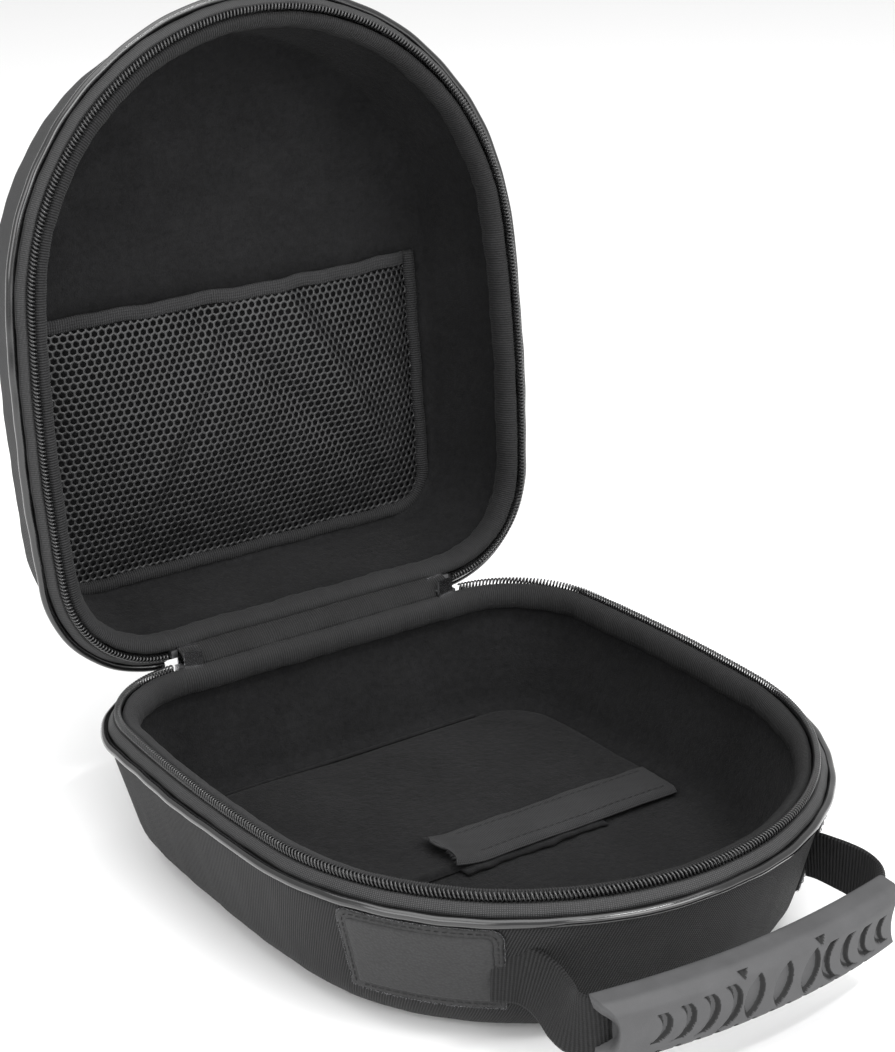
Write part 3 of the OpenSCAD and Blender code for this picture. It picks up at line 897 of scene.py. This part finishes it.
def pocket_binding():
    """Ribbon sewn round the pocket's sides and bottom."""
    w, r, step = POCKET_W + 0.8, 15.8, RIB_PITCH / 3
    top, bottom = POCKET_TOP - 5, POCKET_Y + 0.8
    left = np.arange(top, bottom - r, step)
    rows = [np.c_[0 * left - w, left, 0 * left - 1, 0 * left],
            arc(-w + r, bottom - r, r, 180, 90, step)]
    flat = np.arange(-w + r, w - r, step)
    rows += [np.c_[flat, 0 * flat + bottom, 0 * flat, 0 * flat + 1],
             arc(w - r, bottom - r, r, 90, 0, step),
             np.c_[0 * left + w, left[::-1], 0 * left + 1, 0 * left]]
    line = np.vstack(rows)
    s = lengths(line[:, :2])
    d = POCKET_BACK
    profile = rounded([(2.4, d - 1.6), (1.6, d - 2.9), (0, d - 3.2), (-1.8, d - 2.7), (-2.7, d - 1.4),
                       (-2.6, d + 0.1), (2.3, d - 0.5)], 0.5, 3)
    waves = [(0.28, 29, 0.6), (0.15, 11, 1.4)]
    stack = ribbed(profile, s, RIB_PITCH, 0.04, waves)
    obj = loft("pocket_binding_ribbon", (line[:, :2], line[:, 2:], s), stack, in_lid, MATS["binding"],
               ring=False)
    finish_piece(obj, "lid", "binding_ribbon", "pocket_binding")


# ---- padded floor flap, its ribbon and the layer beneath ----

FLAP_BOTTOM, FLAP_T, FLAP_K = 5.6, 3.0, -18
FLAP_FRONT, FLAP_BACK = 0.5, 96.5
HEM_X0, HEM_W = -16, 20
outline_at = zip_line(1.0)


def half_width(y, k):
    """Half the width of the outline moved in by k, at y."""
    points, normals, _ = outline_at
    moved = points + normals * k
    right = moved[(moved[:, 0] > 0) & (moved[:, 1] > FRONT_Y - 60)]
    order = np.argsort(right[:, 1])
    return np.interp(y, right[order, 1], right[order, 0])


def flap_top(x, y):
    """The flap's upper face: crowned, rolled over at its edges, with shallow dents."""
    edge = np.minimum(np.minimum(y - FLAP_FRONT, FLAP_BACK - y), half_width(y, FLAP_K) - np.abs(x))
    roll = np.clip(edge / 2.6, 0, 1)
    crown = np.sqrt(np.clip(1 - (1 - roll) ** 2, 0, 1))
    dents = 0.22 * np.sin(x / 23 + 0.5) * np.sin(y / 19 + 1) + 0.12 * np.sin(x / 9 + y / 14)
    return FLAP_BOTTOM + 0.25 + crown * (FLAP_T - 0.45 + dents)


def swell(obj, pressure, cap, frames=20):
    """Puffs a closed padded piece up with a short cloth simulation, and caps how far a point moves."""
    rest = np.array([v.co for v in obj.data.vertices])
    mod = obj.modifiers.new("cloth", "CLOTH")
    mod.settings.use_pressure = True
    mod.settings.uniform_pressure_force = pressure
    mod.settings.effector_weights.gravity = 0
    mod.settings.tension_stiffness = mod.settings.compression_stiffness = 25
    mod.settings.quality = 6
    scene = bpy.context.scene
    for number in range(1, frames + 1):
        scene.frame_set(number)
    graph = bpy.context.evaluated_depsgraph_get()
    moved = np.array([v.co for v in obj.evaluated_get(graph).data.vertices])
    obj.modifiers.remove(mod)
    scene.frame_set(1)
    step = moved - rest
    far = np.linalg.norm(step, axis=1)[:, None]
    step *= np.minimum(1, cap * MM / np.maximum(far, 1e-9))
    out = rest + step
    out[:, 2] = np.maximum(out[:, 2], FLAP_BOTTOM * MM)
    obj.data.vertices.foreach_set("co", out.astype(np.float32).ravel())
    obj.data.update()
    return obj


def floor_flap():
    y = np.r_[FLAP_FRONT + np.array([0, 0.5, 1.2, 2.2]), np.arange(FLAP_FRONT + 4, FLAP_BACK - 4, 2.2),
              FLAP_BACK - np.array([2.8, 1.6, 0.8, 0.1])]
    t = np.linspace(-1, 1, 81)
    t = np.sign(t) * (1 - (1 - np.abs(t)) ** 1.25)
    width = half_width(y, FLAP_K)
    x = t[None] * width[:, None]
    yy = np.repeat(y[:, None], len(t), 1)
    top = np.stack([x, yy, flap_top(x, yy)], -1)
    low = np.stack([x, yy, np.full_like(x, FLAP_BOTTOM)], -1)[:, ::-1]
    obj = surface("floor_flap_padded", np.concatenate([top, low], 1), MATS["flap"], y, np.arange(162),
                  wrap_m=True, caps=True)
    swell(obj, pressure=1.2, cap=0.5)
    modify(obj, "SUBSURF", levels=1, render_levels=1)
    apply_modifiers(obj)
    finish_piece(obj, "flap", "flap_fleece", "floor_flap")


def hem_z(x, y):
    """Height of the ribbon over the flap: it wraps the front edge, and its loose left end curls up."""
    rest = flap_top(x, np.maximum(y, FLAP_FRONT + 1.6)) + 1.05
    dip = np.clip((FLAP_FRONT + 1.2 - y) / 2.4, 0, 1)
    loose = np.clip((HEM_X0 + 17 - x) / 17, 0, 1) ** 2
    curl = loose * (2.4 + 1.0 * np.sin(y / 5.2))
    wave = 0.22 * np.sin(x / 7.3) * np.sin(y / 4.1 + 0.4) + 0.12 * np.sin(x / 3.1 + y)
    return rest - dip ** 1.5 * 2.3 + curl + wave * (0.4 + loose)


def flap_hem():
    right = half_width(HEM_W / 2, FLAP_K) - 1.6
    x = np.arange(HEM_X0, right, 0.25)
    y = np.r_[FLAP_FRONT - 1.1, FLAP_FRONT - 0.9, FLAP_FRONT - 0.2,
              np.linspace(FLAP_FRONT + 0.9, HEM_W + 0.5, 14)]
    skew = ripple(x, [(0.35, 44, 0.4), (0.2, 15, 1)])[:, None]
    xx, yy = np.repeat(x[:, None], len(y), 1), y[None] + skew * (y[None] / HEM_W)
    xx = xx + 1.4 * np.clip((HEM_X0 + 3 - xx) / 3, 0, 1) * np.sin(yy / 2.7)
    z = hem_z(xx, yy) + 0.05 * np.cos(TAU * xx / 0.75)
    obj = surface("flap_hem_ribbon", np.stack([xx, yy, z], -1), MATS["hem"], x, y)
    thicken(obj, 0.55)
    finish_piece(obj, "flap", "flap_ribbon", "flap_hem")
    row = np.array([[px, FLAP_FRONT + 2.4, 0] for px in np.arange(HEM_X0 + 12, right - 2, 0.5)])
    rows = []
    for offset in (0, HEM_W - 5.0):
        line = row + [0, offset, 0]
        line[:, 2] = hem_z(line[:, 0], line[:, 1]) + 0.1
        seam = stitches("flap_hem_stitches_%d" % len(rows), line, (0, 0, 1), 3.0, 2.1, 0.32, MATS["thread"])
        rows.append(finish_piece(seam, "flap", "flap_ribbon"))
    frayed = fibres("flap_hem_fray", fray_points(), 0.14, MATS["hem"])
    finish_piece(frayed, "flap", "flap_ribbon")


def fray_points():
    out = []
    for _ in range(70):
        y = rng.uniform(FLAP_FRONT - 0.8, HEM_W + 0.4)
        x = HEM_X0 + 0.2
        z = float(hem_z(np.array(x), np.array(y)))
        reach = Vector((-rng.uniform(0.6, 2.6), rng.uniform(-0.6, 0.6), rng.uniform(-0.7, 0.6)))
        out.append((Vector((x + 0.4, y, z - 0.25)), reach))
    return out


def fibres(name, starts, thick, mat):
    """Loose fibres: thin three-sided spikes that bend a little."""
    verts, faces = [], []
    for start, reach in starts:
        side = reach.cross(Vector((0.3, 0.2, 1))).normalized()
        up = side.cross(reach).normalized()
        bend = up * rng.uniform(-0.25, 0.25) * reach.length
        base = len(verts)
        for t, r in ((0, 1.0), (0.5, 0.8)):
            c = start + reach * t + bend * t * t
            verts += [c + side * thick * r, c - side * thick * r * 0.5 + up * thick * r * 0.8,
                      c - side * thick * r * 0.5 - up * thick * r * 0.8]
        verts.append(start + reach + bend)
        for j in range(3):
            j1 = (j + 1) % 3
            faces.append([base + j, base + j1, base + 3 + j1, base + 3 + j])
            faces.append([base + 3 + j, base + 3 + j1, base + 6])
        faces.append([base + 2, base + 1, base])
    return add_object(name, [tuple(v) for v in verts], faces, mat)


def underlay():
    """The doubled cloth that shows beneath the ribbon's free end."""
    x = np.arange(-14, 49, 0.8)
    y = np.linspace(FLAP_FRONT - 3.6, FLAP_FRONT + 8, 9)
    xx, yy = np.repeat(x[:, None], 9, 1), np.repeat(y[None], len(x), 0)
    yy = yy + ripple(x, [(0.5, 31, 0.2), (0.25, 9, 1)])[:, None]
    z = 6.6 - 1.1 * np.clip((yy - FLAP_FRONT) / 4, 0, 1)
    z = z + 0.25 * np.sin(xx / 6.2) * np.sin(yy / 1.7) + 0.15 * np.sin(xx / 2.1)
    obj = surface("flap_underlay_cloth", np.stack([xx, yy, z], -1), MATS["flap"], x, y)
    thicken(obj, 0.9)
    finish_piece(obj, "flap", "flap_fleece", "flap_underlay")


# ---- label patch and its twin ----

PATCH_AT, PATCH_SPAN, PATCH_H0, PATCH_H1 = 53, 30, 11, 44


def patch_surface(name, mid, t_edge, mat, inset, rise, round_r):
    """A cloth patch on the front wall: plump edges and rounded top corners."""
    arc_len = math.radians(PATCH_SPAN) * FRONT_R
    half = arc_len / 2 - inset
    h = np.linspace(PATCH_H0 + inset, PATCH_H1 - inset, 56)
    t = np.linspace(-1, 1, 90)
    drop = np.clip(round_r - (h - h[0]), 0, round_r)
    width = half - (round_r - np.sqrt(np.maximum(round_r ** 2 - drop ** 2, 0)))
    width = width + ripple(h, [(0.12, 9, mid), (0.08, 3.7, 1)])
    a = t[None] * width[:, None]
    hh = np.repeat(h[:, None], len(t), 1)
    edge = np.minimum(np.minimum(hh - h[0], h[-1] - hh), width[:, None] - np.abs(a))
    plump = np.sqrt(np.clip(1 - (1 - np.clip(edge / t_edge, 0, 1)) ** 2, 0, 1))
    out = rise[0] + plump * (rise[1] - rise[0]) + 0.1 * np.sin(a / 5.3) * np.sin(hh / 6.1)
    turn = np.radians(270 + mid) + a / FRONT_R
    r = FRONT_R + wall_k(hh, BASE_DRAFT) + out
    grid = np.stack([r * np.cos(turn), FRONT_Y + r * np.sin(turn), PARTING_Z - hh], -1)
    obj = surface(name, grid, mat, h, t * half)
    return thicken(obj, 0.6)


def patch_ring(mid, inset, lift, round_r, step=0.5):
    """Points and outward normals round a patch, inset from its edge."""
    half = math.radians(PATCH_SPAN) * FRONT_R / 2 - inset
    top, bottom, r = PATCH_H0 + inset, PATCH_H1 - inset, round_r - inset * 0.5
    corner = np.radians(np.linspace(0, 90, 12))
    left = np.c_[-half + r - r * np.cos(corner), top + r - r * np.sin(corner)]
    right = np.c_[half - r + r * np.sin(corner), top + r - r * np.cos(corner)]
    nodes = np.vstack([[-half, bottom], left, right, [half, bottom], [-half, bottom]])
    s = lengths(nodes)
    q = np.arange(0, s[-1], step)
    a, h = np.interp(q, s, nodes[:, 0]), np.interp(q, s, nodes[:, 1])
    turn = np.radians(270 + mid) + a / FRONT_R
    r = FRONT_R + wall_k(h, BASE_DRAFT) + lift
    points = np.stack([r * np.cos(turn), FRONT_Y + r * np.sin(turn), PARTING_Z - h], -1)
    slope = np.full_like(turn, -math.tan(math.radians(BASE_DRAFT)))
    normal = np.stack([np.cos(turn), np.sin(turn), slope], -1)
    return points, normal


def add_patch(name, mid, panel):
    obj = patch_surface(name + "_leather", mid, 1.2, MATS["leather"], 0.0, (0.15, 1.05), 4.5)
    finish_piece(obj, "base", "patch_leather", name)
    points, normal = patch_ring(mid, 2.0, 1.1, 4.5)
    seam = stitches(name + "_stitches", points, normal, 2.6, 1.9, 0.36, MATS["thread"])
    finish_piece(seam, "base", "patch_leather")
    points, normal = patch_ring(mid, 0.1, 0.75, 4.5, 0.22)
    starts = []
    for p, n in zip(points[:-1], normal[:-1]):
        if rng.random() < 0.8:
            out = Vector(n).normalized() * rng.uniform(0.1, 0.5)
            slip = Vector((rng.uniform(-0.4, 0.4), rng.uniform(-0.4, 0.4), rng.uniform(-0.2, 0.5)))
            starts.append((Vector(p), out + slip))
    frayed = fibres(name + "_cut_edge", starts, 0.09, MATS["pale_thread"])
    finish_piece(frayed, "base", "patch_leather")
    if panel:
        face = patch_surface(panel + "_inset", mid, 1.6, MATS["panel"], 3.2, (0.95, 1.45), 3.0)
        finish_piece(face, "base", "patch_face", panel)


# ---- webbing straps and the grip ----

SWING_Y, SWING_Z = -93, 31         # the handle's swing axis
DROOP = math.radians(4)
WEB_W, WEB_T = 20, 1.6
GRIP_Y, GRIP_BOW, GRIP_L, GRIP_H, GRIP_T = -138.6, 290, 117, 22, 14
GRIP_HOLLOW = 16                 # radius of the hollow in either end of the grip
GRIP_STATION = 0.36              # length of the grip between two stations of its mesh


def hang(p):
    """Turns level handle points down by the droop about the swing axis."""
    y, z = p[..., 1] - SWING_Y, p[..., 2] - SWING_Z
    c, s = math.cos(DROOP), math.sin(DROOP)
    return np.stack([p[..., 0], SWING_Y + y * c - z * s, SWING_Z + y * s + z * c], -1)


def spline(points, step):
    """A smooth curve through given points, by arc length."""
    p = np.asarray(points, float)
    ext = np.vstack([2 * p[0] - p[1], p, 2 * p[-1] - p[-2]])
    out = []
    for i in range(1, len(ext) - 2):
        t = np.linspace(0, 1, 40, endpoint=False)[:, None]
        a, b, c, d = ext[i - 1:i + 3]
        out.append(0.5 * (2 * b + (c - a) * t + (2 * a - 5 * b + 4 * c - d) * t ** 2
                          + (3 * b - a - 3 * c + d) * t ** 3))
    out = np.vstack(out + [p[-1:]])
    s = lengths(out[:, :3])
    q = np.arange(0, s[-1], step)
    return np.stack([np.interp(q, s, out[:, k]) for k in range(out.shape[1])], -1), q


def webbing(name, route):
    """Ribbed webbing along a route of (x, y, z, lean in degrees of its width from upright)."""
    path, s = spline(route, WEB_RIB / 4)
    centre, lean = path[:, :3], np.radians(path[:, 3])
    t = unit(np.gradient(centre, axis=0))
    face = unit(np.cross(t, [0, 0, 1.0]))
    up = np.cross(face, t)
    wide = up * np.cos(lean)[:, None] + face * np.sin(lean)[:, None]
    out = face * np.cos(lean)[:, None] - up * np.sin(lean)[:, None]
    w = np.linspace(-WEB_W / 2, WEB_W / 2, 41)
    rib = 0.14 * np.abs(np.cos(math.pi * s / WEB_RIB)) - 0.07
    cord = 0.05 * np.cos(TAU * w / 1.0)
    edge = np.clip((WEB_W / 2 - np.abs(w)) / 0.9, 0, 1) ** 0.5
    top = edge[None] * (WEB_T / 2 + rib[:, None] + cord[None])
    ring_w = np.r_[w, w[::-1]]
    ring_o = np.concatenate([top, -top[:, ::-1]], 1)
    grid = centre[:, None] + wide[:, None] * ring_w[None, :, None] + out[:, None] * ring_o[..., None]
    v = np.r_[w, WEB_W + w]
    return surface(name, grid, MATS["web"], s, v, wrap_m=True, caps=True)


def add_strap(side, sign, route):
    route = [(sign * x, y, z, sign * a) for x, y, z, a in route]
    obj = webbing("strap_%s_webbing" % side, route)
    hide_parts("strap_tab_" + side, "strap_" + side)
    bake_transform(obj)


def sdf_circle(x, z, cx, cz, r):
    return np.hypot(x - cx, z - cz) - r


def grip_marks(x, z):
    """Signed distance to the nearest of the engraved marks on the grip's face, negative inside the marks; it
    also places the painted shade on their walls.
    """
    mid, out = 4, np.full_like(x, 9.0)
    for i in range(4):
        r = 8.4 - i * 0.95
        c = r + 16.4 + i * 8.4
        for s in (-1, 1):
            cx = mid + s * c
            moon = np.maximum(sdf_circle(x, z, cx, 0, r), -sdf_circle(x, z, cx + s * 3.0, 0, r))
            moon = np.maximum(moon, np.abs(z + 0.6) - 0.86 * r)
            out = np.minimum(out, moon)
    lean = math.radians(-14)
    for i in (-1, 0, 1):
        u, w = x - mid - i * 11.5, z + 0.4
        u, w = u * math.cos(lean) + w * math.sin(lean), w * math.cos(lean) - u * math.sin(lean)
        lens = np.maximum(sdf_circle(u, w, -6.8, 0, 10.2), sdf_circle(u, w, 6.8, 0, 10.2))
        out = np.minimum(out, lens)
    for s in (-1, 1):
        u = np.abs(x - mid - s * 15.8)
        out = np.minimum(out, np.maximum(z - 9.4, u * 0.8 - (z - 7.2) * 0.6))
    notch = (x + 3.5) % 7 - 3.5
    return np.minimum(out, np.where(np.abs(x) < 45, np.hypot(notch, z + 9.6) - 1.0, 9))


def handle_grip():
    """The rubber grip: a bowed bar with bevelled edges, hollow ends and engraved marks, with painted shade on
    the marks' walls.
    """
    o, v = GRIP_T / 2, GRIP_H / 2
    section = rounded([(-o, -v + 4), (-o + 3, -v), (o - 2.5, -v), (o, -v + 2.2), (o, v - 3.2),
                       (o - 3.2, v), (-o + 3, v), (-o, v - 4)], 1.3, 4)
    loop = np.vstack([section, section[:1]])
    s = lengths(loop)
    q = np.linspace(0, s[-1], 168, endpoint=False)
    k, z = np.interp(q, s, loop[:, 0]), np.interp(q, s, loop[:, 1])
    t = np.linspace(-1, 1, 330)
    reach = GRIP_L / 2 + GRIP_HOLLOW - 4 - np.sqrt(GRIP_HOLLOW ** 2 - z ** 2)
    x = t[:, None] * reach[None]
    kk, zz = np.repeat(k[None], len(t), 0), np.repeat(z[None], len(t), 0)
    marks = grip_marks(x, zz)
    depth = 1.5 * np.clip(0.5 - marks / 0.5, 0, 1)
    facing = np.clip((kk - (o - 3.4)) / 1.2, 0, 1)
    taper = 1 - 0.10 * np.abs(t[:, None]) ** 3
    kk = (kk - depth * facing) * taper + 0.05 * np.sin(x / 4.7) * np.sin(zz / 3.1)
    zz = zz * (1 - 0.02 * np.abs(t[:, None]) ** 4)
    for sign, at in ((-1, 0), (1, -1)):
        for shrink, inward in ((0.86, 0.2), (0.7, 0.6), (0.66, 5.0)):
            new = (x[at] - sign * inward, kk[at] * shrink, zz[at] * shrink)
            if at == 0:
                x, kk, zz = (np.vstack([n[None], old]) for n, old in zip(new, (x, kk, zz)))
            else:
                x, kk, zz = (np.vstack([old, n[None]]) for n, old in zip(new, (x, kk, zz)))
    bow = GRIP_Y + GRIP_BOW - np.sqrt((GRIP_BOW + kk) ** 2 - x ** 2)
    grid = hang(np.stack([x, bow, SWING_Z + zz], -1))
    obj = surface("handle_grip_rubber", grid, MATS["rubber"], np.arange(len(x)) * GRIP_STATION, q,
                  wrap_m=True, caps=True)
    # second material: a dark colour on the steep walls of the engraved marks, painted shade in the engravings
    obj.data.materials.append(MATS["mark"])
    for face in obj.data.polygons[:-2]:
        i, j = divmod(face.index, len(q))
        i -= 3
        if 0 <= i < len(marks) and facing[i, j] > 0.4 and -0.75 < marks[i, j] < 0.2:
            face.material_index = 1
    finish_piece(obj, "handle", "grip_rubber", "handle_grip")


def add_handle():
    left = [(66.5, -91.6, 30.6, 8), (63.0, -94.6, 30.4, 9), (59.6, -98.2, 30.0, 10), (57.8, -103.5, 29.2, 14),
            (57.8, -110, 28.2, 20), (59.3, -117, 27.4, 22), (60.4, -123.5, 27.2, 15), (58.8, -129.5, 27.8, 7),
            (54.5, -132.6, 28.2, 2), (48, -133.8, 28.2, 0)]
    right = [(60.2, -93.8, 31, 8), (61.2, -97.5, 31, 9), (62.6, -103, 30.8, 6), (64.2, -110, 30.4, 2),
             (65.0, -117, 30.0, 0), (63.8, -124, 29.4, 0), (60.0, -129.6, 28.8, 0), (54.5, -132.8, 28.4, 0),
             (48, -133.8, 28.2, 0)]
    add_strap("left", -1, left)
    add_strap("right", 1, right)
    handle_grip()


# ---- sliders and pulls keep their CAD shapes ----

for side in ("left", "right"):
    paint_node("slider_" + side, "metal")
    paint_node("pull_" + side, "metal")
paint_node("flap_seam", "flap")

floor_flap()
flap_hem()
underlay()
add_patch("label_patch", -PATCH_AT, "label_panel")
add_patch("anchor_patch", PATCH_AT, None)
add_handle()
hinge_band()
pocket_net()
pocket_hem()
pocket_binding()
